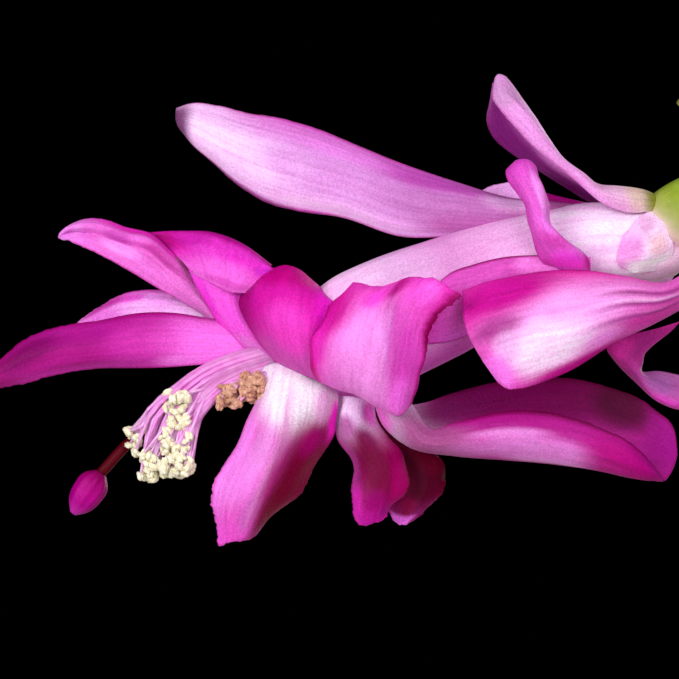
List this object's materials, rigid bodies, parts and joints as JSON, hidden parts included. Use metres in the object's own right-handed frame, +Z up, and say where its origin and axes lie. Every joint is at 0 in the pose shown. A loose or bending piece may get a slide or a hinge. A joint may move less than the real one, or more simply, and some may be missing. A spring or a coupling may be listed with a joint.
{
  "type": "potted thanksgiving cactus",
  "caption": "Thanksgiving cactus with arching flat toothed stems, layered pink tubular blooms and buds, in a plain clay pot.",
  "frame": {"origin": "the centre of the pot's flat base, on the surface that it stands on", "axes": "+Z up; -X towards the large bloom that the picture shows, which points along -X; the picture looks along +Y"},
  "size_m": [0.4444, 0.4363, 0.2413],
  "materials": {
    "fired_clay": "matte unglazed terracotta",
    "potting_mix": "rough crumbly peat mix",
    "leafy_stem": "waxy satin green",
    "petal": "soft satin magenta with a pale middle",
    "stamen": "lilac filaments with cream anthers",
    "pistil": "satin crimson with a magenta stigma",
    "bud": "soft satin deep pink"
  },
  "bodies": {
    "root": {"pot": "fired_clay", "soil": "potting_mix", "stem_left": "leafy_stem", "stem_back_right": "leafy_stem", "stem_front_right": "leafy_stem", "stem_right": "leafy_stem", "stem_right_back": "leafy_stem", "stem_back": "leafy_stem", "stem_back_left": "leafy_stem", "stem_low_left": "leafy_stem", "stem_front_left": "leafy_stem", "stem_front": "leafy_stem", "stem_front_long": "leafy_stem", "stem_right_front": "leafy_stem", "petals_left": "petal", "stamens_left": "stamen", "pistil_left": "pistil", "petals_back_right": "petal", "stamens_back_right": "stamen", "pistil_back_right": "pistil", "petals_front_right": "petal", "stamens_front_right": "stamen", "pistil_front_right": "pistil", "petals_right": "petal", "stamens_right": "stamen", "pistil_right": "pistil", "petals_front_long": "petal", "stamens_front_long": "stamen", "pistil_front_long": "pistil", "bud_right_back": "bud", "bud_back": "bud", "bud_front_left": "bud", "bud_front": "bud"}
  },
  "joints": []
}
